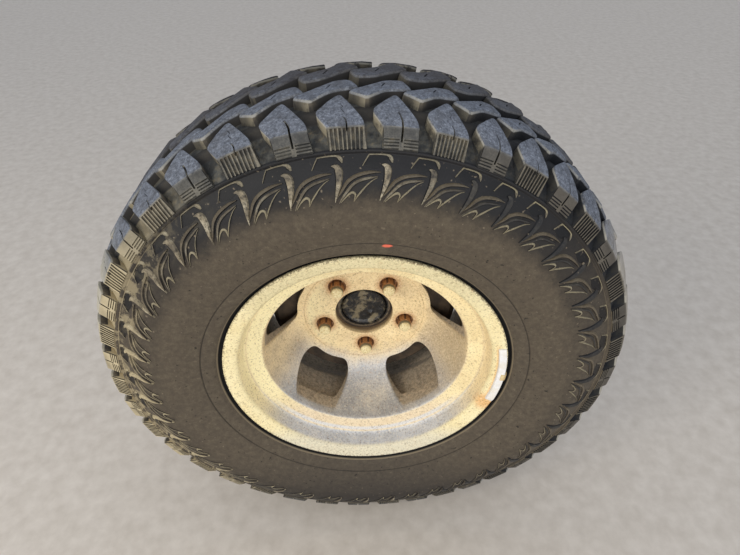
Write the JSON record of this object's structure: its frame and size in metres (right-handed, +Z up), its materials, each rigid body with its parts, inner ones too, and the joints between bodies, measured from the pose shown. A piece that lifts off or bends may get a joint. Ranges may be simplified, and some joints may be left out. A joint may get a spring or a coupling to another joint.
{
  "type": "off-road wheel and tyre on its axle end",
  "caption": "Mud-terrain tyre on a dusty cast bowl rim with nuts and brake drum, turning on a bearing in the weld-on end of its axle housing.",
  "frame": {"origin": "middle of the spigot that goes into the axle tube, on the wheel's axis", "axes": "+Y along the axle, inboard, away from the wheel's outer face; +X to the right seen from outside; +Z up"},
  "size_m": [0.7863, 0.3061, 0.7867],
  "materials": {
    "tyre_rubber": "matte",
    "cast_rim": "satin",
    "nut_steel": "matte",
    "drum_iron": "matte",
    "shaft_steel": "satin",
    "bearing_steel": "satin",
    "housing_iron": "matte",
    "plate_steel": "satin",
    "bolt_steel": "matte",
    "weight_zinc": "satin",
    "valve_brass": "satin"
  },
  "bodies": {
    "axle_end": {"housing_end": "housing_iron", "wheel_bearing": "bearing_steel", "t_bolts": "bolt_steel", "backing_plate": "plate_steel"},
    "wheel": {"axle_shaft": "shaft_steel", "brake_drum": "drum_iron", "rim": "cast_rim", "lug_nuts": "nut_steel", "outer_weight": "weight_zinc", "inner_weight": "weight_zinc", "valve": "valve_brass", "tyre": "tyre_rubber"}
  },
  "joints": [
    {"name": "wheel_spin", "type": "hinge", "parent": "axle_end", "child": "wheel", "pos_m": [0, 0, 0], "axis": [0, 1, 0], "continuous": true}
  ]
}
